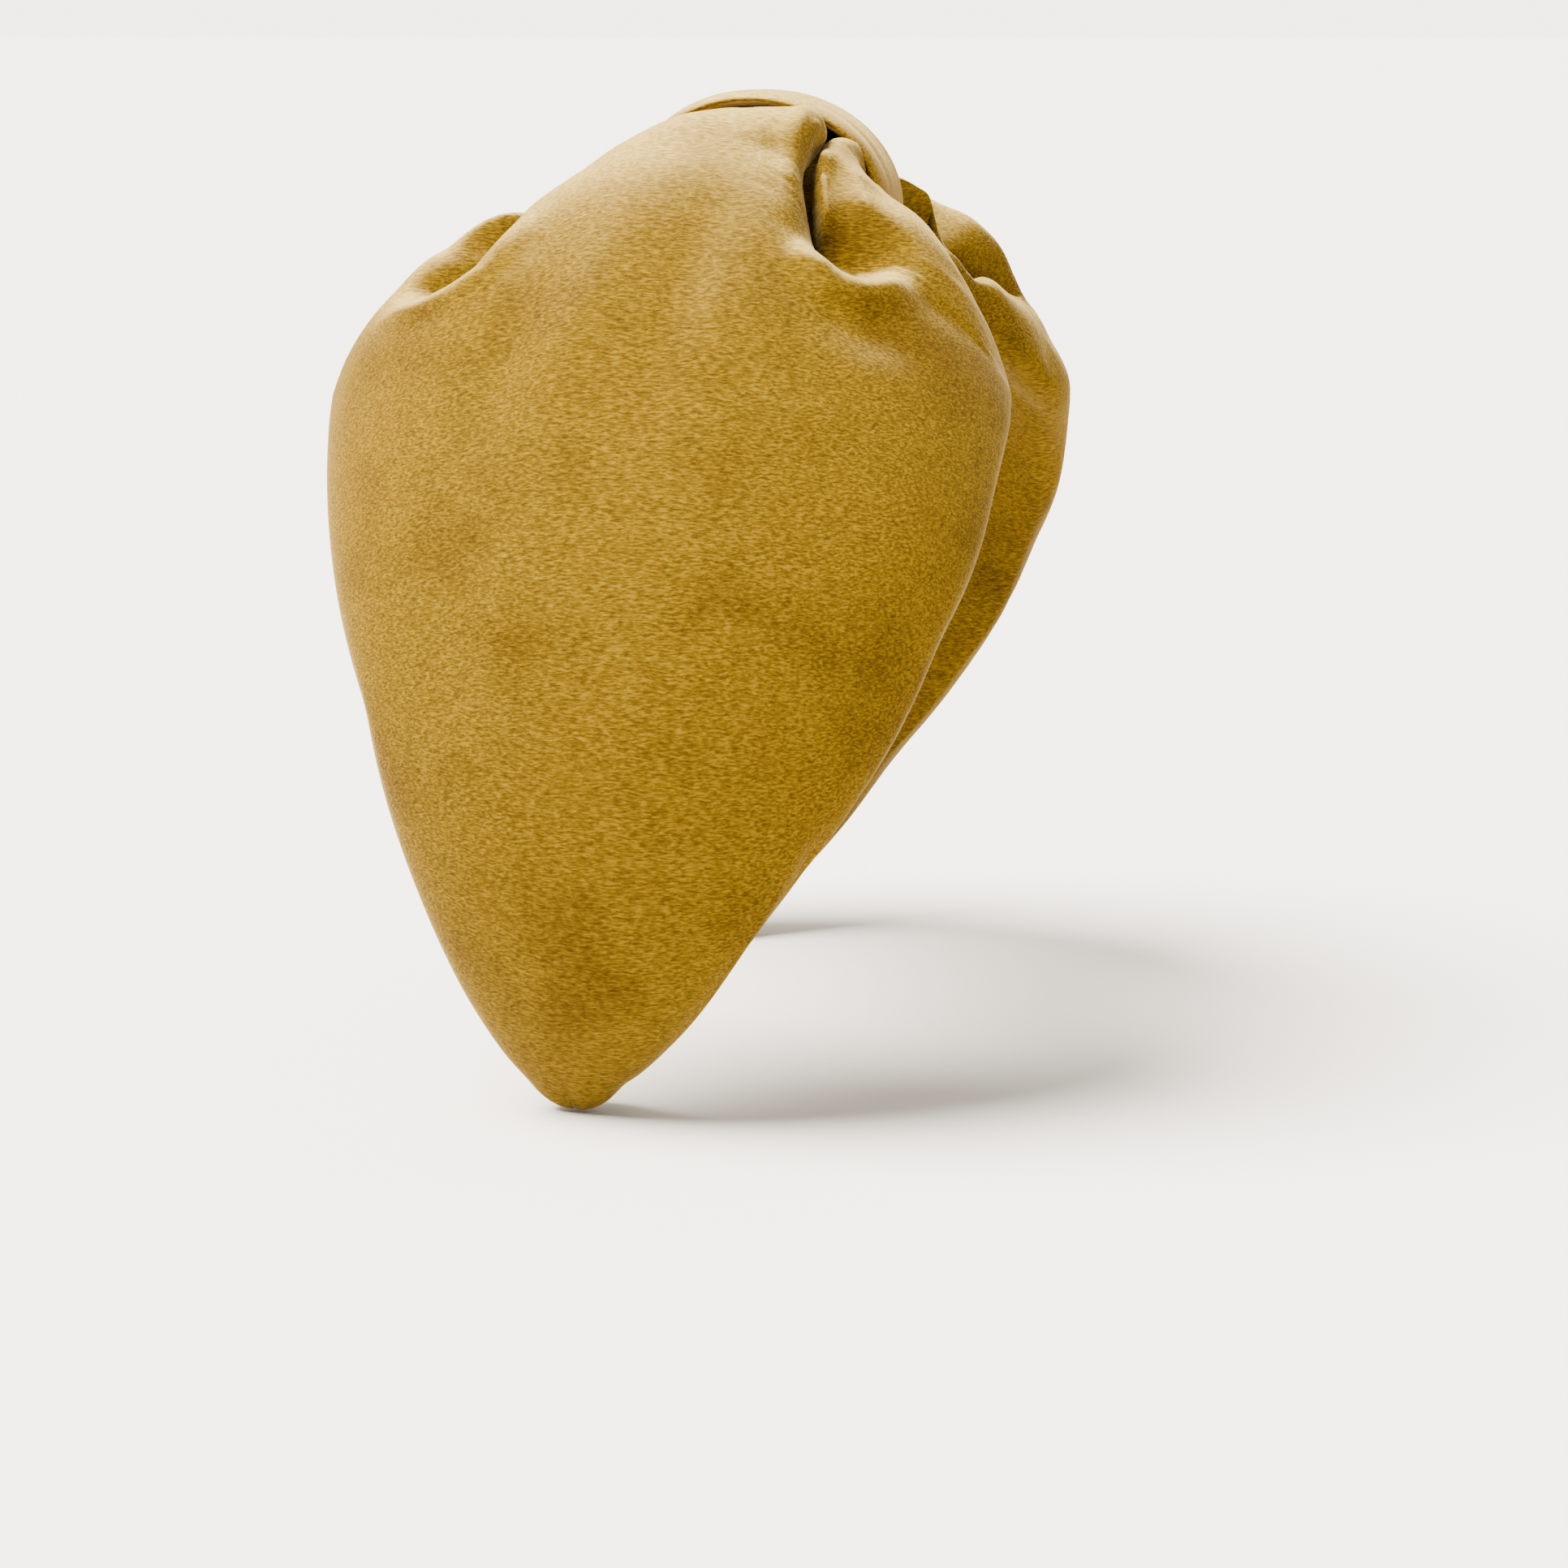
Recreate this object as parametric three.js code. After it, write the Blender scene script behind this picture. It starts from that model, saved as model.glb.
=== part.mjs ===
// A padded velvet turban headband: two teardrop side panels that are gathered into pleats at the
// crown, and a folded velvet band that is wrapped round the gathers as a knot.
// Units are millimetres and +Z is up. The wearer faces -Y, and the wearer's right side is at -X.
// The origin is on the crown of the head, under the middle of the knot.
import * as THREE from "three";

const degree = Math.PI / 180;

// The head that the headband is shaped to: half its width, length and height, and how far the
// middle of the knot lies ahead of the head's middle. The headband's underside clears it by the ease.
const headHalfWidth = 76;
const headHalfLength = 95;
const headHalfHeight = 93;
const knotForward = 10;
const headEase = 0.5;

// The gathered waist under the knot.
const waistHalfLength = 19;
const waistHeight = 23.6;
const seamGap = 0.3; // between the two panels

// The knot band.
const bandHalfWidth = 13.5;
const bandThickness = 3;
const bandClearance = 0.3; // between the band and the velvet inside it
const bandCrown = 0.6; // how much fuller the band is along its middle

// An open side panel: its reach behind the head's middle, how far round the head it is widest and
// ends, where the tip lies behind the head's middle, and how the padding is rounded.
const panelReachBack = 61.5;
const widestTurn = 32;
const tipTurn = 131.5;
const tipBack = 12.5;
const padding = 12.5;
const edgeHeight = 4.2; // of the outermost line of the padded edge above its underside
const tipRounding = 3.5;
const tipStart = 35 * degree; // where on its round the tip's rounding begins
const hollowHeight = 16; // of the hollow under the main pleat
const hollowShare = 0.62; // of a section's width that the hollow takes up
const foldDepth = 14; // of the deepest valley between two pleats

// How full a section is over and under its outermost line: 2 is an ellipse, and more is squarer.
const waistFullness = 2;
const openFullness = 3;
const undersideFullness = 4;

// The gathers, from the knot to the widest line of a panel. turn is the share of that way, back and
// front say how far each edge has spread from the waist, crest goes from the padding (0) to the
// waist's height (1), backFull and frontFull are fullnesses, hollow is a share of hollowHeight. The
// underside comes down onto the head over the first baseDropShare of the way.
const baseDropShare = 0.2;
const fullestShare = 0.18; // of the way, to where the main pleat stands fullest
const gathers = [
  { turn: 0.0, back: 0.0, front: 0.0, crest: 1.0, backFull: 2.0, frontFull: 2.0, hollow: 0.0 },
  { turn: 0.07, back: 0.16, front: 0.15, crest: 1.32, backFull: 1.75, frontFull: 2.6, hollow: 0.1 },
  { turn: 0.18, back: 0.53, front: 0.37, crest: 1.58, backFull: 1.6, frontFull: 2.9, hollow: 0.45 },
  { turn: 0.32, back: 0.78, front: 0.56, crest: 1.38, backFull: 1.6, frontFull: 2.8, hollow: 0.85 },
  { turn: 0.46, back: 0.9, front: 0.76, crest: 1.17, backFull: 1.85, frontFull: 2.7, hollow: 1.0 },
  { turn: 0.63, back: 0.965, front: 0.92, crest: 0.86, backFull: 2.25, frontFull: 2.7, hollow: 0.85 },
  { turn: 0.8, back: 0.995, front: 0.985, crest: 0.6, backFull: 2.6, frontFull: 2.8, hollow: 0.6 },
  { turn: 1.0, back: 1.0, front: 1.0, crest: 0.38, backFull: 3.0, frontFull: 3.0, hollow: 0.4 },
];

// The valleys between the pleats at the same turns. backAt and frontAt say where they run, as shares
// of the way along the velvet from the crest to the edge, backDeep and frontDeep are shares of
// foldDepth, and open is how far they have widened out.
const valleys = [
  { turn: 0.0, backAt: 0.8, frontAt: 0.42, backDeep: 0.1, frontDeep: 0.2, open: 0.0 },
  { turn: 0.07, backAt: 0.76, frontAt: 0.41, backDeep: 0.3, frontDeep: 0.55, open: 0.0 },
  { turn: 0.18, backAt: 0.68, frontAt: 0.4, backDeep: 0.6, frontDeep: 0.9, open: 0.05 },
  { turn: 0.32, backAt: 0.62, frontAt: 0.42, backDeep: 0.7, frontDeep: 1.0, open: 0.15 },
  { turn: 0.46, backAt: 0.58, frontAt: 0.445, backDeep: 0.65, frontDeep: 0.9, open: 0.4 },
  { turn: 0.63, backAt: 0.57, frontAt: 0.47, backDeep: 0.4, frontDeep: 0.5, open: 0.8 },
  { turn: 0.8, backAt: 0.57, frontAt: 0.52, backDeep: 0.08, frontDeep: 0.08, open: 1.0 },
  { turn: 1.0, backAt: 0.57, frontAt: 0.54, backDeep: 0.0, frontDeep: 0.0, open: 1.0 },
];

// The open stretch, from the widest line to the tip. turn is the share of that way, back and front
// are shares of the reach from the tip's line, crest is a share of the padding.
const openStretch = [
  { turn: 0.1, back: 0.985, front: 0.99, crest: 1.16, hollow: 0.25 },
  { turn: 0.2, back: 0.95, front: 0.975, crest: 1.0, hollow: 0.12 },
  { turn: 0.34, back: 0.87, front: 0.905, crest: 0.92, hollow: 0.06 },
  { turn: 0.47, back: 0.765, front: 0.824, crest: 0.88, hollow: 0.04 },
  { turn: 0.57, back: 0.695, front: 0.732, crest: 0.86, hollow: 0.02 },
  { turn: 0.67, back: 0.61, front: 0.617, crest: 0.84, hollow: 0.0 },
  { turn: 0.775, back: 0.505, front: 0.473, crest: 0.8, hollow: 0.0 },
  { turn: 0.865, back: 0.405, front: 0.35, crest: 0.76, hollow: 0.0 },
  { turn: 0.925, back: 0.318, front: 0.25, crest: 0.73, hollow: 0.0 },
  { turn: 0.965, back: 0.25, front: 0.176, crest: 0.7, hollow: 0.0 },
  { turn: 1.0, back: 0.172, front: 0.108, crest: 0.68, hollow: 0.0 },
];

// The widths of a valley's two sides, at the knot and where it has widened out, and how far its
// floor is drawn in under the main pleat, as a share of its depth.
const backValley = { farSide: 4, farOpen: 8, mainSide: 13, mainOpen: 9, undercut: -0.1 };
const frontValley = { farSide: 3.2, farOpen: 10, mainSide: 1.6, mainOpen: 5, undercut: 0.3 };

// What differs from side to side, since it is gathered by hand: how far the front edge reaches, how
// much less full the front of the gathers is, how much further down the front valley runs, as a
// share of its way, and how many times as wide it is.
const rightSide = { reachFront: 59, lessFull: 0, valleyShift: 0, valleyWide: 1 };
const leftSide = { reachFront: 62, lessFull: 0.8, valleyShift: 0.34, valleyWide: 1.7 };

// How finely the velvet is meshed, and how much finer it is in a valley.
const stepsAcross = 34;
const stepsUnder = 16;
const stepsInGathers = 3;
const stepsInOpen = 2;
const stepsUnderBand = 3;
const stepsTip = 4;
const stepsRoundBand = 44;
const stepsRoundStrap = 14;
const fineSteps = 240;
const valleyFineness = 4;

const velvet = { color: 0xc29a45, roughness: 0.9, metalness: 0 };

const headMiddle = new THREE.Vector3(
  0,
  knotForward,
  -headHalfHeight * Math.cos(Math.asin(knotForward / headHalfLength)),
);
const bandTurn = bandHalfWidth / (headHalfHeight + waistHeight / 2);
const freeTurn = bandTurn * (1 + bandClearance / bandHalfWidth);

const mix = (from, to, share) => from + (to - from) * share;
const power = (value, exponent) => Math.sign(value) * Math.abs(value) ** exponent;
const bump = (off, width) => Math.exp(-((off / width) ** 2));

// The waist's section, which the band is wrapped round.
const waist = {
  back: knotForward - waistHalfLength,
  front: knotForward + waistHalfLength,
  base: bandThickness + 2 * bandClearance,
  crest: waistHeight - edgeHeight,
  backFull: waistFullness,
  frontFull: waistFullness,
  hollow: 0,
};

// A point that lies so far forward of the head's middle, turned so far round from the crown towards
// the wearer's left, and standing so far off the head.
function place(forward, turn, standOff) {
  const reach = 1 / Math.hypot(Math.sin(turn) / headHalfWidth, Math.cos(turn) / headHalfHeight);
  const round = reach * Math.cos(Math.asin(forward / headHalfLength));
  const point = new THREE.Vector3(round * Math.sin(turn), -forward, round * Math.cos(turn));
  const outward = new THREE.Vector3(
    point.x / headHalfWidth ** 2,
    point.y / headHalfLength ** 2,
    point.z / headHalfHeight ** 2,
  ).normalize();
  return point.addScaledVector(outward, standOff).add(headMiddle);
}

// The upper half of a section, from its back edge over the top to its front edge.
function upperOutline(section, steps) {
  const middle = (section.front + section.back) / 2;
  const half = (section.front - section.back) / 2;
  return Array.from({ length: steps + 1 }, (_, i) => {
    const angle = Math.PI * (1 - i / steps);
    const full = i < steps / 2 ? section.backFull : section.frontFull;
    return new THREE.Vector2(
      middle + half * power(Math.cos(angle), 2 / full),
      section.base + edgeHeight + section.crest * power(Math.sin(angle), 2 / full),
    );
  });
}

// The underside, from the front edge to the back edge, with the hollow under the main pleat.
function lowerOutline(section, steps) {
  const middle = (section.front + section.back) / 2;
  const half = (section.front - section.back) / 2;
  return Array.from({ length: steps - 1 }, (_, i) => {
    const angle = (Math.PI * (i + 1)) / steps;
    const across = power(Math.cos(angle), 2 / undersideFullness);
    const under = power(Math.sin(angle), 2 / undersideFullness);
    const fromMiddle = Math.min(1, Math.abs(across) / hollowShare);
    const hollow = section.hollow * Math.cos((Math.PI / 2) * fromMiddle) ** 2;
    return new THREE.Vector2(
      middle + half * across,
      section.base + edgeHeight * (1 - under) + hollow,
    );
  });
}

// The direction that a line of points runs in at one of them.
function alongLine(line, i) {
  return line[Math.min(i + 1, line.length - 1)].clone().sub(line[Math.max(i - 1, 0)]).normalize();
}

// The running total of a value over the steps of a line, from its first point.
function runningTotal(line, stepValue) {
  const totals = [0];
  for (let i = 1; i < line.length; i += 1) {
    totals.push(totals[i - 1] + stepValue(i));
  }
  return totals;
}

// A line's points taken at even steps of a running total.
function evenSteps(line, totals, steps) {
  const points = [];
  let i = 1;
  for (let n = 0; n <= steps; n += 1) {
    const wanted = (totals.at(-1) * n) / steps;
    while (i < line.length - 1 && totals[i] < wanted) i += 1;
    const share = (wanted - totals[i - 1]) / (totals[i] - totals[i - 1]);
    points.push(line[i - 1].clone().lerp(line[i], share));
  }
  return points;
}

// A section's upper half with the valleys between the pleats pressed into it.
function pleatedLine(section) {
  const line = upperOutline(section, fineSteps);
  const lengths = runningTotal(line, (i) => line[i].distanceTo(line[i - 1]));
  const crest = lengths[fineSteps / 2];
  const runs = section.valleys.map((valley) => {
    const edge = valley.toFront ? lengths.at(-1) : 0;
    return { ...valley, floor: mix(crest, edge, valley.at) };
  });
  const shareOf = (run, length) => {
    const off = length - run.floor;
    return bump(off, off < 0 ? run.backSide : run.frontSide);
  };
  const pressed = line.map((point, i) => {
    const along = alongLine(line, i);
    const inward = new THREE.Vector2(along.y, -along.x);
    const moved = point.clone();
    for (const run of runs) {
      const depth = run.depth * shareOf(run, lengths[i]);
      moved.addScaledVector(inward, depth).addScaledVector(along, -depth * run.undercut);
    }
    return moved;
  });
  const fineness = (i) =>
    runs.reduce((sum, run) => sum + (valleyFineness * shareOf(run, lengths[i]) * run.depth) / foldDepth, 1);
  const totals = runningTotal(line, (i) => (lengths[i] - lengths[i - 1]) * fineness(i));
  return evenSteps(pressed, totals, stepsAcross);
}

// A closed ring of points across a panel.
function ring(section) {
  return [...pleatedLine(section), ...lowerOutline(section, stepsUnder)];
}

// The sections of a panel in real sizes, each with how far round the head it lies.
function panelSections(side) {
  const widest = widestTurn * degree;
  const tip = tipTurn * degree;
  const openCrest = padding - edgeHeight;
  const gathered = gathers.map((row, n) => {
    const valley = valleys[n];
    const lessFull = side.lessFull * Math.min(1, row.turn / fullestShare);
    return {
      turn: mix(freeTurn, widest, row.turn),
      back: mix(waist.back, -panelReachBack, row.back),
      front: mix(waist.front, side.reachFront, row.front),
      base: mix(waist.base, headEase, Math.min(1, row.turn / baseDropShare)),
      crest: mix(openCrest, waist.crest, row.crest),
      backFull: row.backFull,
      frontFull: mix(row.frontFull - lessFull, row.frontFull, row.turn),
      hollow: hollowHeight * row.hollow,
      backAt: valley.backAt,
      frontAt: valley.frontAt + side.valleyShift,
      backDepth: foldDepth * valley.backDeep,
      frontDepth: foldDepth * valley.frontDeep,
      open: valley.open,
      frontWide: side.valleyWide,
    };
  });
  const widestSection = gathered.at(-1);
  const open = openStretch.map((row) => ({
    ...widestSection,
    turn: mix(widest, tip, row.turn),
    back: mix(-tipBack, -panelReachBack, row.back),
    front: mix(-tipBack, side.reachFront, row.front),
    crest: openCrest * row.crest,
    hollow: hollowHeight * row.hollow,
  }));
  return [...gathered, ...open];
}

// One value of the sections at any turn, on a smooth curve that doesn't overshoot.
function smoothValue(sections, turn, name) {
  const last = sections.length - 2;
  const ahead = sections.findIndex((section) => section.turn > turn);
  const k = ahead < 0 ? last : Math.max(0, ahead - 1);
  const slope = (j) => {
    if (j < 0 || j > last) return 0;
    return (sections[j + 1][name] - sections[j][name]) / (sections[j + 1].turn - sections[j].turn);
  };
  const tangent = (j) => {
    const before = slope(j - 1);
    const after = slope(j);
    return before * after <= 0 ? 0 : (2 * before * after) / (before + after);
  };
  const length = sections[k + 1].turn - sections[k].turn;
  const t = (turn - sections[k].turn) / length;
  return (
    sections[k][name] * (1 + 2 * t) * (1 - t) ** 2 +
    tangent(k) * length * t * (1 - t) ** 2 +
    sections[k + 1][name] * t * t * (3 - 2 * t) -
    tangent(k + 1) * length * t * t * (1 - t)
  );
}

function sectionAt(sections, turn) {
  const section = {};
  for (const name of Object.keys(sections[0])) {
    section[name] = smoothValue(sections, turn, name);
  }
  const back = {
    toFront: false,
    at: section.backAt,
    depth: section.backDepth,
    backSide: mix(backValley.farSide, backValley.farOpen, section.open),
    frontSide: mix(backValley.mainSide, backValley.mainOpen, section.open),
    undercut: backValley.undercut,
  };
  const front = {
    toFront: true,
    at: section.frontAt,
    depth: section.frontDepth,
    backSide: mix(frontValley.mainSide * section.frontWide, frontValley.mainOpen, section.open),
    frontSide: mix(frontValley.farSide * section.frontWide, frontValley.farOpen, section.open),
    undercut: frontValley.undercut,
  };
  return { ...section, turn, valleys: [back, front] };
}

// A closed body through rings with the same number of points, with flat ends.
function closedBody(rings, facesOut) {
  const count = rings[0].length;
  const middleOf = (points) =>
    points.reduce((sum, point) => sum.add(point), new THREE.Vector3()).divideScalar(points.length);
  const points = [...rings.flat(), middleOf(rings[0]), middleOf(rings.at(-1))];
  const faces = [];
  const start = rings.length * count;
  const lastRing = start - count;
  for (let i = 0; i < count; i += 1) {
    const next = (i + 1) % count;
    for (let r = 0; r + 1 < rings.length; r += 1) {
      const here = r * count;
      const there = here + count;
      faces.push([here + i, there + i, there + next], [here + i, there + next, here + next]);
    }
    faces.push([start, i, next], [start + 1, lastRing + next, lastRing + i]);
  }
  return geometryFrom(points, faces, facesOut);
}

function geometryFrom(points, faces, facesOut) {
  const geometry = new THREE.BufferGeometry();
  geometry.setAttribute(
    "position",
    new THREE.Float32BufferAttribute(points.flatMap((point) => point.toArray()), 3),
  );
  geometry.setIndex(faces.flatMap((face) => (facesOut ? face : [face[0], face[2], face[1]])));
  geometry.computeVertexNormals();
  return geometry;
}

// The rings of a panel on the wearer's left.
function panelRings(side) {
  const sections = panelSections(side);
  const turns = [];
  for (let i = 0; i < stepsUnderBand; i += 1) {
    turns.push((freeTurn * i) / stepsUnderBand);
  }
  for (let i = 0; i + 1 < sections.length; i += 1) {
    const steps = i + 1 < gathers.length ? stepsInGathers : stepsInOpen;
    for (let j = 0; j < steps; j += 1) {
      turns.push(mix(sections[i].turn, sections[i + 1].turn, j / steps));
    }
  }
  const rings = turns.map((turn) => {
    const section = sectionAt(sections, Math.max(turn, freeTurn));
    return ring(section).map((point) => place(point.x, turn, point.y));
  });
  return [...rings, ...tipRings(sectionAt(sections, tipTurn * degree))];
}

// The tip's rounded edge, where the last section closes in on its middle.
function tipRings(section) {
  const outline = ring(section);
  const total = outline.reduce((sum, point) => sum.add(point), new THREE.Vector2());
  const middle = total.divideScalar(outline.length);
  return Array.from({ length: stepsTip }, (_, i) => {
    const angle = mix(tipStart, 90 * degree, i / stepsTip);
    const further = (Math.sin(angle) - Math.sin(tipStart)) / (1 - Math.sin(tipStart));
    const turn = section.turn + (tipRounding * further) / headHalfWidth;
    const width = Math.cos(angle) / Math.cos(tipStart);
    const thickness = Math.sqrt(1 - (i / stepsTip) ** 2);
    return outline.map((point) => {
      return place(mix(middle.x, point.x, width), turn, mix(middle.y, point.y, thickness));
    });
  });
}

// A side panel; sign is -1 on the wearer's right and 1 on the left.
function panel(name, sign, side) {
  const rings = panelRings(side);
  for (const point of rings.flat()) {
    point.x = sign * (point.x + seamGap / 2);
  }
  const mesh = new THREE.Mesh(closedBody(rings, sign < 0), new THREE.MeshStandardMaterial(velvet));
  mesh.name = name;
  return mesh;
}

// The closed line round the waist, as points with the direction that each one faces.
function waistLoop() {
  const upper = upperOutline(waist, stepsRoundBand / 2);
  const lower = lowerOutline(waist, stepsRoundBand / 2);
  const loop = [...upper, ...lower];
  return loop.map((point, i) => {
    const along = loop[(i + 1) % loop.length].clone().sub(loop.at(i - 1)).normalize();
    return { point, outward: new THREE.Vector2(-along.y, along.x) };
  });
}

// The strap's own section: how far it lies to the side of its middle line, as a share of half its
// width, and how far it stands off the velvet inside.
function strapSection() {
  return Array.from({ length: stepsRoundStrap }, (_, i) => {
    const angle = (i / stepsRoundStrap) * 2 * Math.PI;
    const side = power(Math.cos(angle), 2 / openFullness);
    const rise = power(Math.sin(angle), 2 / openFullness);
    const crown = bandCrown * Math.max(0, rise) * (1 - side ** 2);
    return { side, off: bandClearance + (bandThickness * (1 + rise)) / 2 + crown };
  });
}

function knotBand() {
  const strap = strapSection();
  const loop = waistLoop();
  const points = loop.flatMap(({ point, outward }) => {
    const flatUnder = Math.max(0, outward.y);
    return strap.map(({ side, off }) => {
      const plain = Math.min(off, bandClearance + bandThickness);
      const lifted = point.clone().addScaledVector(outward, mix(plain, off, flatUnder));
      return place(lifted.x, side * bandTurn, lifted.y);
    });
  });
  const faces = [];
  const count = strap.length;
  for (let i = 0; i < loop.length; i += 1) {
    for (let j = 0; j < count; j += 1) {
      const here = i * count;
      const there = ((i + 1) % loop.length) * count;
      const next = (j + 1) % count;
      faces.push([here + j, there + j, there + next], [here + j, there + next, here + next]);
    }
  }
  const mesh = new THREE.Mesh(geometryFrom(points, faces, false), new THREE.MeshStandardMaterial(velvet));
  mesh.name = "knot_band";
  return mesh;
}

const headband = new THREE.Group();
headband.add(panel("right_panel", -1, rightSide), panel("left_panel", 1, leftSide), knotBand());

export default headband;
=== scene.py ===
"""A padded velvet turban headband: two gathered side panels and the folded band that knots them."""

import math
from collections import namedtuple

import bpy
import numpy as np
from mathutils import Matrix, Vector


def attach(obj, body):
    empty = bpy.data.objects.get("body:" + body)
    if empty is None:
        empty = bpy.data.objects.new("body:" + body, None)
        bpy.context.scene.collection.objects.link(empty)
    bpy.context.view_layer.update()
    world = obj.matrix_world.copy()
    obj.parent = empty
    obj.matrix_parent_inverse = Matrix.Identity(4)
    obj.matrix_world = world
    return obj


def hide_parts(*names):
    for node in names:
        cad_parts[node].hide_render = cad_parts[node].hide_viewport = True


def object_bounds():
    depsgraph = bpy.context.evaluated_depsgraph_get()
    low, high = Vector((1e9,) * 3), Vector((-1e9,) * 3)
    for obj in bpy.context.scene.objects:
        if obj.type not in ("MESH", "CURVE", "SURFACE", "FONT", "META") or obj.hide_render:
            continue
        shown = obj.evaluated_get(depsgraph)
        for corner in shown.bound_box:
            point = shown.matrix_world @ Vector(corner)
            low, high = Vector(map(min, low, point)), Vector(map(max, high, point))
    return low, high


MM = 0.001

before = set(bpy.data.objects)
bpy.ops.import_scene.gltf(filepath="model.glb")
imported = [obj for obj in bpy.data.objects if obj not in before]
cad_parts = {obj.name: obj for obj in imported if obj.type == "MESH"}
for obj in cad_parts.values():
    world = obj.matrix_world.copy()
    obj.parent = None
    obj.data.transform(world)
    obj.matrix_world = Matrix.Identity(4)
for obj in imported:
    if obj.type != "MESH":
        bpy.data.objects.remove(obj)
cad_low, cad_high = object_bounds()

# The head that the headband is shaped to, in millimetres: its middle and its half sizes.
head_middle = np.array((0.0, 10.0, -92.484))
head_halves = np.array((76.0, 95.0, 93.0))
ease = 0.4  # what the padding keeps clear of the head
outer_height = 12  # off the head, over which the gathers' cloth is on the outside
under_lap = 4  # how far below that the smoothing still reaches

# How the cloth settles over its padding, in millimetres.
waist_half_width = 13.5  # of the gathers that the band covers
hold_fade = 8  # over which the gathers let go of the cloth
panel_give = 1.3  # the furthest that the cloth moves
settle_steps = 20
padding_pressure = 4
cloth_growth = 0.015  # how much larger the cloth is cut than its padding

# The knot band, in millimetres off the crown, and in shares of its half width from its middle.
band_middle = np.array((0, 0, 13))
curl_from = 0.45  # where its edges begin to curl
edge_out = 1.1  # how far the curl carries its outer face sideways
under_in = 1.5  # and its inner face back
right_edge_lift = 1.2  # how far the right edge stands up
left_edge_lift = -0.6
top_from, top_span = -0.2, 0.6  # where, going up it, the curl and the creases come in

# The camera, in metres and degrees.
camera_target = Vector((-20.65, -7.51, -101.81)) * MM
camera_azimuth = -80
camera_elevation = 12
camera_distance = 700 * MM
camera_width = 305 * MM  # of what the frame takes in at the target
sensor_width = 36

# The studio.
floor_size = 80  # metres, so that the floor runs on to the horizon
floor_gap = 1 * MM  # under the panels' tips
window_strength = 23
window_spread = 38  # degrees
room_dark = 0.16  # the room's brightness on the camera's side
room_bright = 2.0  # and behind the headband
backdrop = 5.0  # the brightness of the paper behind the floor


def pick(*objects):
    """Selects these objects alone, with the first one active."""
    bpy.ops.object.select_all(action="DESELECT")
    for each in objects:
        each.select_set(True)
    bpy.context.view_layer.objects.active = objects[0]


def round_off(piece, levels):
    """Subdivides the piece into a rounder skin."""
    pick(piece)
    modifier = piece.modifiers.new("rounding", "SUBSURF")
    modifier.levels = levels
    modifier.render_levels = levels
    bpy.ops.object.modifier_apply(modifier=modifier.name)


def points_of(piece):
    """The piece's points in millimetres."""
    flat = np.empty(len(piece.data.vertices) * 3)
    piece.data.vertices.foreach_get("co", flat)
    return flat.reshape(-1, 3) / MM


def move_points(piece, points):
    piece.data.vertices.foreach_set("co", (points * MM).ravel())
    piece.data.update()


def normals_of(piece):
    flat = np.empty(len(piece.data.vertices) * 3)
    piece.data.vertices.foreach_get("normal", flat)
    return flat.reshape(-1, 3)


def soft_copy(node, name):
    """A copy of a CAD node's mesh as one closed skin of quads."""
    piece = bpy.data.objects.new(name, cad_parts[node].data.copy())
    bpy.context.scene.collection.objects.link(piece)
    pick(piece)
    bpy.ops.object.mode_set(mode="EDIT")
    bpy.ops.mesh.select_all(action="SELECT")
    bpy.ops.mesh.remove_doubles(threshold=0.01 * MM)
    bpy.ops.mesh.tris_convert_to_quads()
    bpy.ops.mesh.normals_make_consistent(inside=False)
    bpy.ops.object.mode_set(mode="OBJECT")
    return piece


# Shaping the cloth. A place on the headband is given by how far forward of the head's middle it
# lies, in millimetres, and how many degrees round from the crown it lies. Every other measure in
# the tables is in millimetres of cloth, or off the head.

turn_length = 1.6  # millimetres of cloth to a degree

# A raised or pressed fold along a path: its height, how wide it is to the left and to the right of
# the path, and the share of its length over which it fades in and out.
Fold = namedtuple("Fold", "path height left right fade")

# A raised or pressed round patch, and how wide it is forward and round.
Dent = namedtuple("Dent", "forward turn wide tall height")

# A patch that bulges out to a level off the head.
Fill = namedtuple("Fill", "forward turn wide tall level")

# A patch that is pushed straight in along the way that it faces, or out with a depth under 0.
Tuck = namedtuple("Tuck", "forward turn wide tall depth")

# A path along which the cloth is evened out, so many times.
Smooth = namedtuple("Smooth", "path width times")


def places_of(points):
    """How far forward and how far round each point lies, both in millimetres of cloth, and the
    direction straight off the head there."""
    offset = points - head_middle
    round_by = np.degrees(np.arctan2(np.abs(offset[:, 0]), offset[:, 2]))
    outward = offset / head_halves**2
    outward /= np.linalg.norm(outward, axis=1)[:, None]
    return np.stack((-offset[:, 1], round_by * turn_length), axis=1), outward


def heights_of(points):
    """How far each point stands off the head, in millimetres."""
    offset = points - head_middle
    reach = np.linalg.norm(offset / head_halves, axis=1)
    return (1 - 1 / reach) * np.linalg.norm(offset, axis=1)


def soft_step(value):
    """Rises smoothly from 0 to 1."""
    value = np.clip(value, 0, 1)
    return value * value * (3 - 2 * value)


def from_spot(places, spot):
    """How far each place lies from a spot's middle, in shares of the spot's width and height."""
    return (places - (spot.forward, spot.turn * turn_length)) / (spot.wide, spot.tall)


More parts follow.
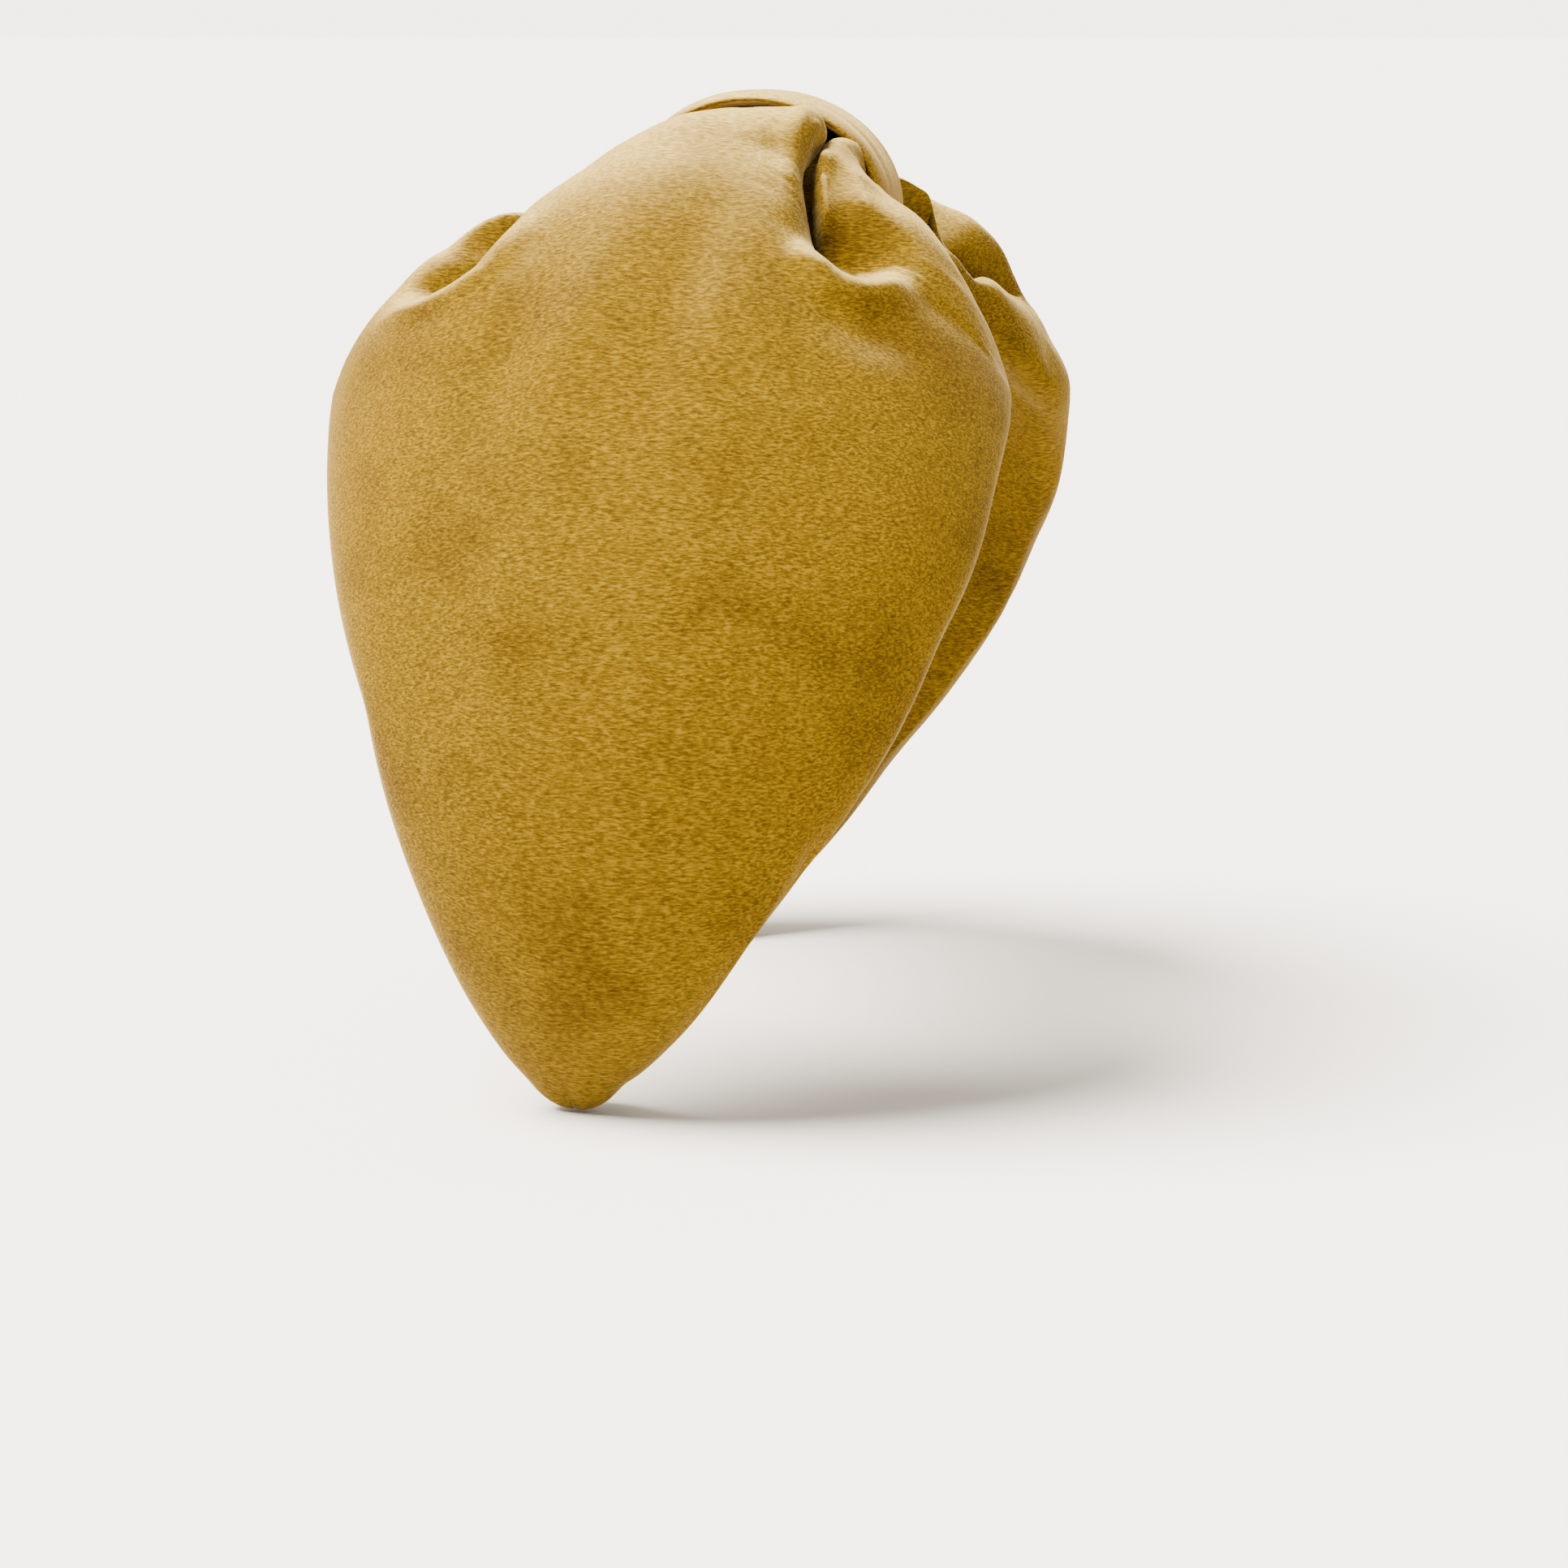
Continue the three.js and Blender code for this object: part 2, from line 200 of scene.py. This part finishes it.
def along_path(places, path):
    """How far each place lies to the left of a path, and its share of the way along it."""
    stops = np.array([(forward, turn * turn_length) for forward, turn in path])
    steps = np.diff(stops, axis=0)
    lengths = np.linalg.norm(steps, axis=1)
    starts = np.concatenate(((0,), np.cumsum(lengths)))
    best = np.full(len(places), np.inf)
    side = np.zeros(len(places))
    share = np.zeros(len(places))
    for stop, step, length, start in zip(stops, steps, lengths, starts):
        off = places - stop
        along = np.clip(off @ step / length**2, 0, 1)
        distance = np.linalg.norm(off - along[:, None] * step, axis=1)
        nearer = distance < best
        cross = step[0] * off[:, 1] - step[1] * off[:, 0]
        best = np.where(nearer, distance, best)
        side = np.where(nearer, np.sign(cross), side)
        share = np.where(nearer, (start + along * length) / starts[-1], share)
    return best * side, share


def fold_lift(places, fold):
    side, share = along_path(places, fold.path)
    width = np.where(side > 0, fold.left, fold.right)
    ends = soft_step(share / fold.fade) * soft_step((1 - share) / fold.fade)
    return fold.height * ends * np.exp(-((side / width) ** 2))


def dent_lift(places, dent):
    return dent.height * np.exp(-np.sum(from_spot(places, dent) ** 2, axis=1))


def lift_cloth(piece, lift_of, features):
    """Raises or presses the outer cloth by what lift_of gives for each feature of a table."""
    points = points_of(piece)
    places, outward = places_of(points)
    facing = np.clip(2 * np.sum(normals_of(piece) * outward, axis=1), 0, 1)
    lift = sum(lift_of(places, feature) for feature in features)
    move_points(piece, points + outward * (lift * facing)[:, None])


def fill_up(piece, fill):
    """Lifts the outer cloth round a place to the fill's level."""
    points = points_of(piece)
    places, outward = places_of(points)
    height = heights_of(points)
    share = np.exp(-np.sum(from_spot(places, fill) ** 4, axis=1)) * (height > outer_height)
    move_points(piece, points + outward * (share * np.maximum(fill.level - height, 0))[:, None])


def tuck_in(piece, tuck):
    """Pushes a patch of the outer cloth in, straight against the way that it faces."""
    points = points_of(piece)
    places, outward = places_of(points)
    normals = normals_of(piece)
    near = np.exp(-(np.sum(from_spot(places, tuck) ** 2, axis=1) ** 1.5))
    share = near * (np.sum(normals * outward, axis=1) > 0)
    inward = -np.sum(normals * share[:, None], axis=0)
    inward /= np.linalg.norm(inward)
    move_points(piece, points + inward * (share * tuck.depth)[:, None])


def smooth_along(piece, smooth):
    """Evens out the outer cloth along a path, as rounded padding does."""
    points = points_of(piece)
    places, _ = places_of(points)
    side, _ = along_path(places, smooth.path)
    outer = heights_of(points) > outer_height - under_lap
    share = (np.exp(-((side / smooth.width) ** 2)) * outer)[:, None]
    edges = np.empty(len(piece.data.edges) * 2, dtype=int)
    piece.data.edges.foreach_get("vertices", edges)
    ends = np.concatenate((edges.reshape(-1, 2), edges.reshape(-1, 2)[:, ::-1]))
    count = np.bincount(ends[:, 0], minlength=len(points))[:, None]
    for _ in range(smooth.times):
        total = np.zeros_like(points)
        np.add.at(total, ends[:, 0], points[ends[:, 1]])
        points += share * 0.5 * (total / count - points)
    move_points(piece, points)


def keep_off_head(piece):
    """Moves any point that would touch the head straight out to its clearance."""
    points = points_of(piece)
    offset = points - head_middle
    reach = np.linalg.norm(offset / (head_halves + ease), axis=1)
    inside = np.where(reach < 1, 1 / np.maximum(reach, 0.1), 1)
    move_points(piece, head_middle + offset * inside[:, None])


def settle(piece):
    """Lets the cloth settle over its padding under a light pressure, held where it is gathered."""
    before = points_of(piece)
    held = piece.vertex_groups.new(name="gathered")
    holds = soft_step(1 - (np.abs(before[:, 0]) - waist_half_width) / hold_fade)
    for index, hold in enumerate(holds):
        if hold > 0:
            held.add([index], float(hold), "REPLACE")
    pick(piece)
    cloth = piece.modifiers.new("cloth", "CLOTH")
    cloth.settings.use_pressure = True
    cloth.settings.uniform_pressure_force = padding_pressure
    cloth.settings.shrink_min = -cloth_growth
    cloth.settings.vertex_group_mass = held.name
    cloth.settings.effector_weights.gravity = 0
    cloth.point_cache.frame_start = 1
    cloth.point_cache.frame_end = settle_steps
    for step in range(1, settle_steps + 1):
        bpy.context.scene.frame_set(step)
    bpy.ops.object.modifier_apply(modifier=cloth.name)
    bpy.context.scene.frame_set(1)
    move = points_of(piece) - before
    far = np.linalg.norm(move, axis=1)
    limited = panel_give * np.tanh(far / panel_give) / np.maximum(far, 1e-9)
    move_points(piece, before + move * limited[:, None])
    piece.vertex_groups.clear()


# Materials


def linear(hex_colour):
    """An sRGB hex colour as the linear colour that a node takes."""
    shares = [int(hex_colour[i : i + 2], 16) / 255 for i in (1, 3, 5)]
    return tuple(c / 12.92 if c <= 0.04045 else ((c + 0.055) / 1.055) ** 2.4 for c in shares) + (1,)


def add_node(material, kind, inputs=None, **settings):
    """Adds a node with its settings. An input takes another node's output, or a plain value."""
    node = material.node_tree.nodes.new(kind)
    for name, value in settings.items():
        setattr(node, name, value)
    for name, value in (inputs or {}).items():
        if isinstance(value, bpy.types.NodeSocket):
            material.node_tree.links.new(value, node.inputs[name])
        else:
            node.inputs[name].default_value = value
    return node


def add_ramp(material, value, stops):
    """A colour ramp over a value, with its stops as (place, hex colour)."""
    ramp = add_node(material, "ShaderNodeValToRGB", {"Fac": value})
    elements = ramp.color_ramp.elements
    while len(elements) < len(stops):
        elements.new(1)
    for element, (place, colour) in zip(elements, stops):
        element.position = place
        element.color = linear(colour)
    return ramp.outputs["Color"]


def mix_colours(material, share, first, second, **settings):
    """Mixes two colours. A Mix node's colours are its inputs 6 and 7 and its output 2."""
    mix = add_node(
        material, "ShaderNodeMix", {0: share, 6: first, 7: second}, data_type="RGBA", **settings
    )
    return mix.outputs[2]


def make_velvet(name, pile_colours, painted_light_colours):
    """Cotton velvet, cut and brushed: its short pile lies in small waves along the cloth, each with
    a light tip over a dark root, and catches a pale sheen where it is seen from the side. Cloth
    that faces up is painted paler, a painted highlight for light falling from above. Both sets of
    colours
    run from the root to the tip: the first is the pile's own, the second is the painted light."""
    material = bpy.data.materials.new(name)
    material.use_nodes = True
    material.node_tree.nodes.clear()
    coordinates = add_node(material, "ShaderNodeTexCoord")
    place = coordinates.outputs["Object"]

    # The pile's waves are about 3 mm long and 0.7 mm apart, and wander a little up and down.
    wave_scale = (1 / (0.38 * MM), 1 / (1.6 * MM), 1 / (0.38 * MM))
    drift = add_node(
        material, "ShaderNodeTexNoise", {"Vector": place, "Scale": 1 / (4 * MM), "Detail": 1.0}
    )
    centred = add_node(
        material, "ShaderNodeVectorMath", {0: drift.outputs["Color"], 1: (0.5, 0.5, 0.5)},
        operation="SUBTRACT",
    )
    swayed = add_node(
        material, "ShaderNodeVectorMath", {0: centred.outputs[0], 1: (0.7 * MM,) * 3, 2: place},
        operation="MULTIPLY_ADD",
    )
    stretched = add_node(
        material, "ShaderNodeMapping", {"Vector": swayed.outputs[0], "Scale": wave_scale}
    )
    waves = add_node(
        material, "ShaderNodeTexNoise",
        {"Vector": stretched.outputs[0], "Scale": 1.0, "Detail": 2.5, "Roughness": 0.6},
    ).outputs["Fac"]
    pile = add_ramp(material, waves, list(zip((0.32, 0.5, 0.7), pile_colours)))

    # Where hands have pressed the pile it lies in soft patches 20 to 40 mm wide.
    pressed = add_node(
        material, "ShaderNodeTexNoise",
        {"Vector": place, "Scale": 1 / (26 * MM), "Detail": 2.0, "Roughness": 0.55},
    )
    patch_stops = [(0.34, "#CEC49E"), (0.52, "#FFFFFF"), (0.7, "#FFF8DC")]
    patches = add_ramp(material, pressed.outputs["Fac"], patch_stops)
    colour = mix_colours(material, 0.7, pile, patches, blend_type="MULTIPLY")

    # Painted light: cloth that faces up is painted paler, up to 62% of the way to the painted light
    # colours, as a painted highlight for light falling from above.
    facing = add_node(
        material, "ShaderNodeSeparateXYZ", {"Vector": coordinates.outputs["Normal"]}
    )
    painted_light_share = add_node(
        material, "ShaderNodeMapRange",
        {
            "Value": facing.outputs["Z"],
            "From Min": 0.52, "From Max": 1.0, "To Min": 0.0, "To Max": 0.62,
        },
        interpolation_type="SMOOTHSTEP",
    )
    painted_light_pile = add_ramp(material, waves, list(zip((0.3, 0.5, 0.7), painted_light_colours)))
    colour = mix_colours(material, painted_light_share.outputs["Result"], colour, painted_light_pile)

    relief = add_node(
        material, "ShaderNodeBump", {"Height": waves, "Strength": 0.6, "Distance": 0.35 * MM}
    )
    skin = add_node(
        material, "ShaderNodeBsdfPrincipled",
        {
            "Base Color": colour,
            "Roughness": 0.92,
            "Specular IOR Level": 0.05,
            "Sheen Weight": 0.42,
            "Sheen Roughness": 0.35,
            "Sheen Tint": linear("#FFDF9A"),
            "Normal": relief.outputs["Normal"],
        },
    )
    add_node(material, "ShaderNodeOutputMaterial", {"Surface": skin.outputs["BSDF"]})
    return material


def make_paper(name, colour):
    """Matt studio paper, smooth and without gloss."""
    material = bpy.data.materials.new(name)
    material.use_nodes = True
    skin = material.node_tree.nodes["Principled BSDF"]
    skin.inputs["Base Color"].default_value = linear(colour)
    skin.inputs["Roughness"].default_value = 0.9
    return material


# The folds of the right panel.
right_folds = [
    # The hooked ridge that the main pleat's front edge turns into, under the dimple.
    Fold(
        ((26, 25), (27.5, 27.5), (31, 29.6), (35.5, 29.8), (40, 27.8), (45.5, 24.8)),
        height=2.8, left=3.0, right=3.4, fade=0.25,
    ),
    # The slit between the main pleat and the front one.
    Fold(
        ((24, 13.5), (24.1, 17), (25.1, 19.6), (26.6, 22), (28.2, 24.6)),
        height=-3.2, left=0.9, right=0.7, fade=0.25,
    ),
    # The front pleat's side, which presses up against the main pleat.
    Fold(
        ((24.8, 11.6), (24.7, 15), (25.3, 17.4), (26.5, 19.6), (28.2, 22)),
        height=6.0, left=0.9, right=2.8, fade=0.22,
    ),
    # The front pleat's own roll, and the small crease tucked in beside the band.
    Fold(
        ((30.5, 12), (32, 15), (34, 18.5), (37, 21)),
        height=1.8, left=3.0, right=3.0, fade=0.35,
    ),
    Fold(
        ((30.5, 7.6), (33.5, 9.8), (36.5, 13.5)),
        height=-1.1, left=1.1, right=1.1, fade=0.35,
    ),
    # The fold at the back of the main pleat, and the ridge that it runs out into.
    Fold(
        ((-24, 21), (-30, 25.5), (-34, 28), (-39, 29.8), (-47, 29.3), (-57, 26)),
        height=1.8, left=4.2, right=2.6, fade=0.25,
    ),
    # The roll along the back edge, over the pocket, and its fuller upper end.
    Fold(
        ((-26, 9), (-34, 12), (-42, 14.5), (-50, 17.5), (-56, 21)),
        height=1.6, left=4.6, right=4.6, fade=0.3,
    ),
    Fold(
        ((-22, 9.5), (-30, 11.4), (-38, 13.4), (-47, 16.6)),
        height=2.5, left=5.0, right=4.4, fade=0.45,
    ),
    # The main pleat's shoulder, drawn up to the band.
    Fold(
        ((2, 7.5), (10, 8), (17, 9.5), (23.5, 12.5)),
        height=1.6, left=5.0, right=5.0, fade=0.35,
    ),
    # Soft drawn folds that run down from the gathers.
    Fold(
        ((-2, 16), (-4, 22), (-9, 30), (-15, 40), (-19, 50)),
        height=1.0, left=6.0, right=7.0, fade=0.3,
    ),
    Fold(
        ((11, 16), (9.5, 24), (6, 32), (2, 42), (-1, 52)),
        height=-0.6, left=4.5, right=5.0, fade=0.3,
    ),
    Fold(
        ((17.5, 14), (16, 21), (14.5, 28), (11, 38), (9, 50)),
        height=0.3, left=5.0, right=6.0, fade=0.3,
    ),
    Fold(
        ((-21, 17), (-23, 25), (-25, 33), (-28, 42), (-31, 52)),
        height=-0.9, left=5.0, right=5.0, fade=0.3,
    ),
]
right_dents = [
    # The dimple over the hooked ridge.
    Dent(33.5, 23.8, wide=6.0, tall=4.2, height=-2.4),
    Dent(39.5, 22.8, wide=5.0, tall=3.4, height=-1.6),
    # The pocket behind the main pleat.
    Dent(-39, 21.6, wide=5.6, tall=3.6, height=-4.6),
    Dent(-45.5, 23.2, wide=5.0, tall=3.2, height=-3.0),
    # The main pleat falls away at the back, and its shoulder comes to a point at the front.
    Dent(-21, 12, wide=9.0, tall=12.0, height=-3.6),
    Dent(-9, 13, wide=8.0, tall=6.0, height=-1.4),
    Dent(23, 10.2, wide=4.2, tall=4.6, height=2.6),
    # The front pleat sinks towards the band's end, and the cloth drops off under the ridge.
    Dent(39.5, 12.6, wide=6.5, tall=7.0, height=-4.4),
    Dent(40, 33.5, wide=9.0, tall=5.0, height=-1.2),
    # The padding isn't quite even further down.
    Dent(8, 75, wide=18.0, tall=26.0, height=0.6),
    Dent(-34, 62, wide=9.0, tall=30.0, height=-0.7),
    Dent(47, 55, wide=9.0, tall=16.0, height=0.8),
    Dent(-6, 112, wide=16.0, tall=14.0, height=0.4),
]
# The front pleat bulges out beside the band, and the main pleat leans forward over the slit.
right_fills = [Fill(28, 9.8, wide=3.4, tall=6.4, level=26.6)]
right_tucks = [Tuck(21.8, 15, wide=2.6, tall=6.5, depth=-1.4)]
right_smooths = [
    Smooth(((27.5, 9), (29.5, 12), (30.5, 16), (31.5, 19), (33, 22)), width=2.4, times=14),
    Smooth(((26.5, 24), (29, 28.4), (33, 29.6), (38, 29)), width=3.2, times=14),
    Smooth(((-26, 22.5), (-32, 27), (-38, 29.6), (-47, 29)), width=3.0, times=8),
]

# The left panel's, gathered a little otherwise: its front pleat sits further down, over a pocket.
left_folds = [
    # The front pleat's rim, over the pocket, and the ridge under it.
    Fold(
        ((37, 18), (44, 20.5), (47.5, 21.8), (53, 24.3), (57, 27.5), (62, 31.5)),
        height=3.2, left=3.6, right=5.4, fade=0.4,
    ),
    Fold(
        ((33, 22), (38, 29), (44, 32), (50, 31)),
        height=1.0, left=4.0, right=5.0, fade=0.3,
    ),
    # The fold at the back of the main pleat, and the roll along the back edge.
    Fold(
        ((-24, 21), (-30, 26), (-35, 29), (-41, 31), (-49, 30)),
        height=1.6, left=4.0, right=3.5, fade=0.25,
    ),
    Fold(
        ((-26, 9), (-34, 12), (-42, 14.5), (-50, 17.5), (-56, 21)),
        height=3.4, left=4.6, right=4.6, fade=0.3,
    ),
    # Soft drawn folds that run down from the gathers.
    Fold(
        ((0, 16), (-3, 24), (-8, 34), (-12, 46)),
        height=0.9, left=6.0, right=6.0, fade=0.3,
    ),
    Fold(
        ((11, 16), (10, 26), (7, 36), (4, 48)),
        height=-0.8, left=4.5, right=5.0, fade=0.3,
    ),
    Fold(
        ((-18, 17), (-21, 27), (-25, 37), (-28, 48)),
        height=-0.8, left=5.0, right=5.0, fade=0.3,
    ),
]
left_dents = [
    # The front pleat lies low beside the band.
    Dent(33, 12.4, wide=5.4, tall=8.0, height=-7.0),
    # The pocket behind the main pleat, and the main pleat falling away to it.
    Dent(-41, 22, wide=8.5, tall=4.8, height=-5.0),
    Dent(-19, 15, wide=10.0, tall=12.0, height=-2.4),
    # The padding isn't quite even further down.
    Dent(5, 78, wide=18.0, tall=26.0, height=0.6),
    Dent(-32, 60, wide=10.0, tall=28.0, height=-0.7),
    Dent(45, 58, wide=9.0, tall=16.0, height=0.7),
]
# The pocket that shows dark beside the band.
left_tucks = [Tuck(42, 17.4, wide=6.6, tall=4.0, depth=8.0)]
left_smooths = [
    Smooth(((34, 13), (38, 14.5), (43, 17)), width=4.0, times=10),
    Smooth(((39, 18), (43, 19.4), (48, 20.6)), width=2.6, times=9),
    Smooth(((-26, 22.5), (-32, 27), (-38, 29.6), (-47, 29)), width=3.0, times=8),
]

# A crease round the band: its place and width in shares of the band's half width, and its height.
Crease = namedtuple("Crease", "place height width")
band_creases = [
    Crease(-0.46, height=-0.6, width=0.1),
    Crease(-0.02, height=-0.4, width=0.14),
    Crease(0.34, height=-0.8, width=0.08),
]


# Pieces


def make_panel(node, folds, dents, tucks, smooths, fills=()):
    """A padded panel: its CAD solid as settled cloth, with the folds that its gathers draw."""
    piece = soft_copy(node, "velvet_" + node)
    round_off(piece, 1)
    settle(piece)
    round_off(piece, 1)
    for fill in fills:
        fill_up(piece, fill)
    lift_cloth(piece, fold_lift, folds)
    lift_cloth(piece, dent_lift, dents)
    for tuck in tucks:
        tuck_in(piece, tuck)
    for smooth in smooths:
        smooth_along(piece, smooth)
    keep_off_head(piece)
    return piece


def make_band(creases):
    """The band is one strap of velvet folded over: its edges curl outwards, so that their
    undersides lie in shadow, and a few long creases run round it."""
    piece = soft_copy("knot_band", "velvet_knot_band")
    round_off(piece, 3)
    points = points_of(piece)
    spoke = points - band_middle
    spoke[:, 0] = 0
    spoke /= np.linalg.norm(spoke, axis=1)[:, None]
    facing = np.sum(normals_of(piece) * spoke, axis=1)
    outer, inner = np.clip(facing, 0, 1), np.clip(-facing, 0, 1)
    side = points[:, 0] / waist_half_width
    top = soft_step((spoke[:, 2] - top_from) / top_span)
    curl = soft_step((np.abs(side) - curl_from) / (1 - curl_from)) * top
    crease = sum(c.height * np.exp(-(((side - c.place) / c.width) ** 2)) for c in creases)
    edge_lift = np.where(side < 0, right_edge_lift, left_edge_lift)
    points[:, 0] += np.sign(side) * curl * (edge_out * outer - under_in * inner)
    points += spoke * (crease * top * outer + edge_lift * curl)[:, None]
    move_points(piece, points)
    return piece


def hand_over(piece, node, velvet):
    """Dresses a piece, hides the CAD node that it stands for and attaches the piece to the root
    body.
    """
    piece.data.materials.clear()
    piece.data.materials.append(velvet)
    pick(piece)
    bpy.ops.object.shade_smooth()
    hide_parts(node)
    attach(piece, "root")


# The second set of colours of each velvet is painted light: the paler pile painted on cloth that
# faces up, as if lit from above.
panel_velvet = make_velvet(
    "mustard_velvet", ("#3F2E02", "#5A4403", "#7A5F08"), ("#A8893C", "#CCAE60", "#E2CB88")
)
band_velvet = make_velvet(
    "mustard_velvet_folded", ("#4A3803", "#684F06", "#866B0E"), ("#AC8F44", "#D0B46C", "#E6CF92")
)

right = make_panel(
    "right_panel", right_folds, right_dents, right_tucks, right_smooths, fills=right_fills
)
hand_over(right, "right_panel", panel_velvet)
left = make_panel("left_panel", left_folds, left_dents, left_tucks, left_smooths)
hand_over(left, "left_panel", panel_velvet)
band = make_band(band_creases)
hand_over(band, "knot_band", band_velvet)


# Stage

bpy.ops.mesh.primitive_plane_add(size=floor_size, location=(0, 0, cad_low.z - floor_gap))
floor = bpy.context.object
floor.name = "floor"
floor.data.materials.append(make_paper("pale_paper", "#E2DED7"))

# One large soft window, above and behind the wearer's head, so far off that it lights all evenly.
window = bpy.data.lights.new("window", "SUN")
window.energy = window_strength
window.angle = math.radians(window_spread)
window.color = linear("#FFF9F0")[:3]
window_spot = bpy.data.objects.new("window", window)
bpy.context.scene.collection.objects.link(window_spot)
window_spot.rotation_euler = Vector((0.2, -0.55, -1.0)).to_track_quat("-Z", "Y").to_euler()

# The room is white, and brightest behind the headband.
world = bpy.data.worlds.new("studio")
world.use_nodes = True
bpy.context.scene.world = world
sky = world.node_tree.nodes["Background"]
sky.inputs["Color"].default_value = linear("#FBF6EE")
gaze = add_node(world, "ShaderNodeTexCoord").outputs["Generated"]
towards = add_node(
    world, "ShaderNodeVectorMath", {0: gaze, 1: Vector((0.85, 0.25, 0.4)).normalized()},
    operation="DOT_PRODUCT",
)
glow = add_node(
    world, "ShaderNodeMapRange",
    {
        "Value": towards.outputs["Value"],
        "From Min": -0.5, "From Max": 0.8, "To Min": room_dark, "To Max": room_bright,
    },
    interpolation_type="SMOOTHSTEP",
)
# The camera sees an even, pale backdrop beyond the floor. A Mix node's plain values are its inputs
# 2 and 3 and its output 0.
ray = add_node(world, "ShaderNodeLightPath")
shown = add_node(
    world, "ShaderNodeMix",
    {0: ray.outputs["Is Camera Ray"], 2: glow.outputs["Result"], 3: backdrop},
    data_type="FLOAT",
)
world.node_tree.links.new(shown.outputs[0], sky.inputs["Strength"])

azimuth, elevation = math.radians(camera_azimuth), math.radians(camera_elevation)
back = Vector(
    (
        math.sin(azimuth) * math.cos(elevation),
        -math.cos(azimuth) * math.cos(elevation),
        math.sin(elevation),
    )
)
camera = bpy.data.objects.new("camera", bpy.data.cameras.new("camera"))
bpy.context.scene.collection.objects.link(camera)
camera.location = camera_target + back * camera_distance
camera.rotation_euler = (-back).to_track_quat("-Z", "Y").to_euler()
camera.data.sensor_width = sensor_width
camera.data.lens = sensor_width * camera_distance / camera_width
bpy.context.scene.camera = camera
